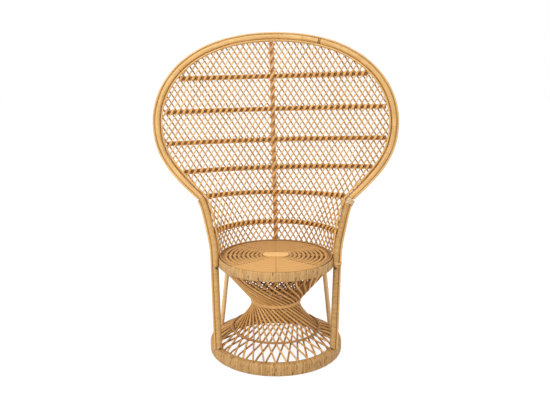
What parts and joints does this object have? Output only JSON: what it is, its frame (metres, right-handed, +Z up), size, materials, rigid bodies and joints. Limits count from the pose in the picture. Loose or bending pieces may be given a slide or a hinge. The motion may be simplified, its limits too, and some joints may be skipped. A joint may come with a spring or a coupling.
{
  "type": "peacock chair",
  "caption": "Rattan chair with a tall flared lattice back, wrapped arms that run down as legs, a round seat, an hourglass pedestal of crossed canes and a wrapped ring base.",
  "frame": {"origin": "middle of the chair's footprint box, on the floor", "axes": "+Z up, -Y the way the sitter faces, +X to the right of a viewer in front of the chair"},
  "size_m": [1.1176, 0.6678, 1.3846],
  "materials": {
    "rattan": "satin peeled cane",
    "peel_wrap": "satin cane peel wound side by side",
    "dark_rattan": "satin cane, scorched brown",
    "core_pole": "bare rattan pole"
  },
  "bodies": {
    "root": {"seat_deck": "rattan", "skirt_hoop": "rattan", "leg_strip_right": "rattan", "leg_strip_left": "rattan", "rear_leg_right": "rattan", "rear_leg_left": "rattan", "rim_outer_strip": "rattan", "edge_hoop": "rattan", "trim_hoop": "rattan", "pedestal_outer_canes_1": "rattan", "pedestal_outer_canes_2": "rattan", "pedestal_outer_canes_3": "rattan", "pedestal_outer_canes_4": "rattan", "pedestal_outer_canes_5": "rattan", "pedestal_outer_canes_6": "rattan", "pedestal_inner_canes_1": "rattan", "pedestal_inner_canes_2": "rattan", "pedestal_inner_canes_3": "rattan", "pedestal_inner_canes_4": "rattan", "pedestal_inner_canes_5": "rattan", "pedestal_inner_canes_6": "rattan", "back_front_canes_1": "rattan", "back_front_canes_2": "rattan", "back_front_canes_3": "rattan", "back_front_canes_4": "rattan", "back_front_canes_5": "rattan", "back_rear_canes_1": "rattan", "back_rear_canes_2": "rattan", "back_rear_canes_3": "rattan", "back_rear_canes_4": "rattan", "back_rear_canes_5": "rattan", "base_wrap": "peel_wrap", "seat_wrap": "peel_wrap", "waist_binding": "peel_wrap", "front_leg_right": "peel_wrap", "front_leg_left": "peel_wrap", "rim_pole": "peel_wrap", "bottom_rail": "dark_rattan", "spine": "dark_rattan", "stay_1": "dark_rattan", "stay_2": "dark_rattan", "stay_3": "dark_rattan", "stay_4": "dark_rattan", "stay_5": "dark_rattan", "stay_6": "dark_rattan", "base_pole_lower": "core_pole", "base_pole_upper": "core_pole", "seat_pole_upper": "core_pole", "seat_pole_lower": "core_pole", "seat_bar_cross": "core_pole", "seat_bar_long": "core_pole", "waist_hoop": "core_pole"}
  },
  "joints": []
}
